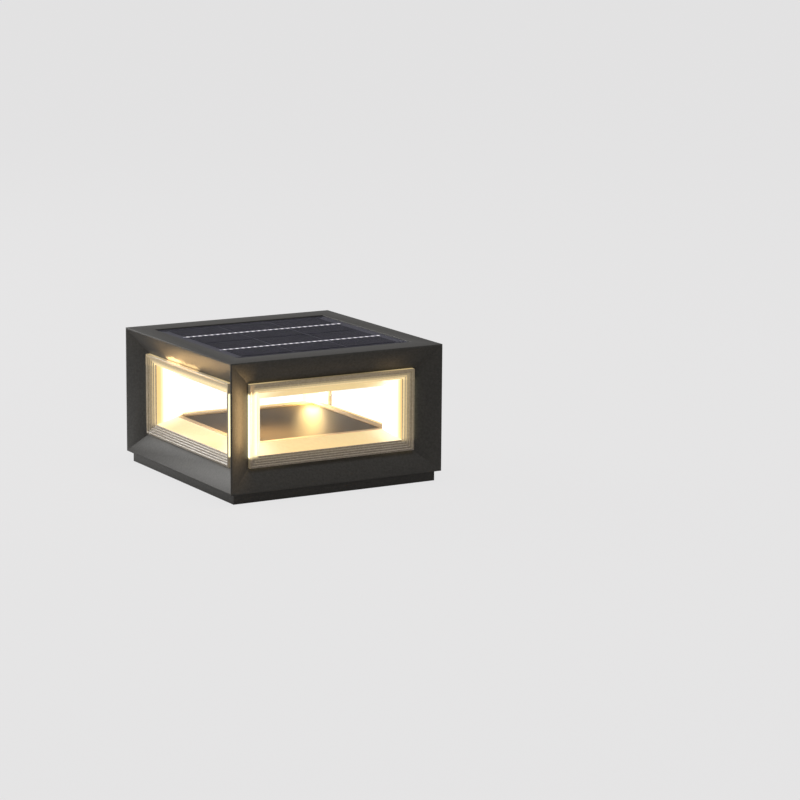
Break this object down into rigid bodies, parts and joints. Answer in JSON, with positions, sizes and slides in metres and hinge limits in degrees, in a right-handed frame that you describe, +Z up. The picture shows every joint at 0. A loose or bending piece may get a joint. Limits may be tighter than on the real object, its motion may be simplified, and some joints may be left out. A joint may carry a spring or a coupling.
{
  "type": "solar post light",
  "caption": "Low square solar post light: bevelled black body, stepped clear lenses on every side, solar panel in the top, set-back plinth over a screw-on mounting plate.",
  "frame": {"origin": "middle of the underside, in the plane that stands on the post", "axes": "+Z up; -Y is the face seen first, -X the face to its left; the panel's ribbons run along X"},
  "size_m": [0.25, 0.25, 0.1475],
  "materials": {
    "powder_coat": "black powder coat on cast aluminium, satin with a fine orange peel",
    "clear_lens": "clear moulded acrylic, glossy",
    "panel_cover": "low-iron glass, glossy",
    "panel_board": "dark blue glass-fibre laminate",
    "solar_cell": "blue-black silicon with fine pale fingers",
    "ribbon": "tinned copper ribbon, satin",
    "lit_white": "warm white diffusing plastic, lit",
    "floor_metal": "grey painted aluminium sheet, satin",
    "rubber_black": "black moulded rubber",
    "foam_black": "black closed-cell foam",
    "steel_zinc": "zinc-plated steel",
    "aluminium_plain": "plain extruded aluminium",
    "board_white": "white solder mask",
    "board_green": "green solder mask",
    "led": "yellow phosphor in a white package",
    "plastic_black": "black moulded plastic, fine grain",
    "plastic_cream": "cream moulded plastic",
    "plastic_red": "red moulded plastic",
    "cell_wrap": "blue shrink sleeve",
    "ferrite": "dark grey ferrite",
    "lead_black": "black PVC sheath",
    "lead_red": "red PVC sheath"
  },
  "bodies": {
    "bracket": {"mounting_plate": "steel_zinc"},
    "lamp": {"housing": "powder_coat", "base_tray": "powder_coat", "window_front": "clear_lens", "window_right": "clear_lens", "window_back": "clear_lens", "window_left": "clear_lens", "solar_cover": "panel_cover", "solar_backboard": "panel_board", "solar_cells": "solar_cell", "solar_ribbons": "ribbon", "solar_gasket": "foam_black", "junction_box": "plastic_black", "window_gaskets": "rubber_black", "window_clips": "steel_zinc", "window_screws": "steel_zinc", "floor_plate": "floor_metal", "ceiling_plate": "floor_metal", "floor_light_rim": "lit_white", "ceiling_light_rim": "lit_white", "diffuser_front_left": "lit_white", "led_board_front_left": "board_white", "led_bracket_front_left": "aluminium_plain", "diffuser_front_right": "lit_white", "led_board_front_right": "board_white", "led_bracket_front_right": "aluminium_plain", "diffuser_back_right": "lit_white", "led_board_back_right": "board_white", "led_bracket_back_right": "aluminium_plain", "diffuser_back_left": "lit_white", "led_board_back_left": "board_white", "led_bracket_back_left": "aluminium_plain", "led_chips": "led", "floor_spacers": "steel_zinc", "ceiling_spacers": "steel_zinc", "floor_screws": "steel_zinc", "ceiling_screws": "steel_zinc", "base_gasket": "rubber_black", "base_screws": "steel_zinc", "grub_screws": "plastic_black", "battery_holder": "plastic_black", "battery_cells": "cell_wrap", "battery_contacts": "steel_zinc", "controller_board": "board_green", "board_chip": "plastic_black", "board_inductor": "ferrite", "board_capacitor": "plastic_black", "board_connectors": "plastic_cream", "board_spacers": "steel_zinc", "board_screws": "steel_zinc", "switch_body": "plastic_black", "switch_nut": "steel_zinc", "switch_seal": "rubber_black", "button_spring": "steel_zinc", "panel_lead": "lead_black", "led_harness": "lead_black", "battery_lead": "lead_red", "switch_lead": "lead_black"},
    "button": {"button_cap": "plastic_red"}
  },
  "joints": [
    {"name": "lamp_lift", "type": "slide", "parent": "bracket", "child": "lamp", "axis": [0, 0, 1], "range_m": [0, 0.05]},
    {"name": "button_press", "type": "slide", "parent": "lamp", "child": "button", "axis": [0, 0, 1], "range_m": [0, 0.0015], "stiffness_N_per_m": 1500, "springref_m": -0.001, "deforming": ["button_spring"]}
  ]
}
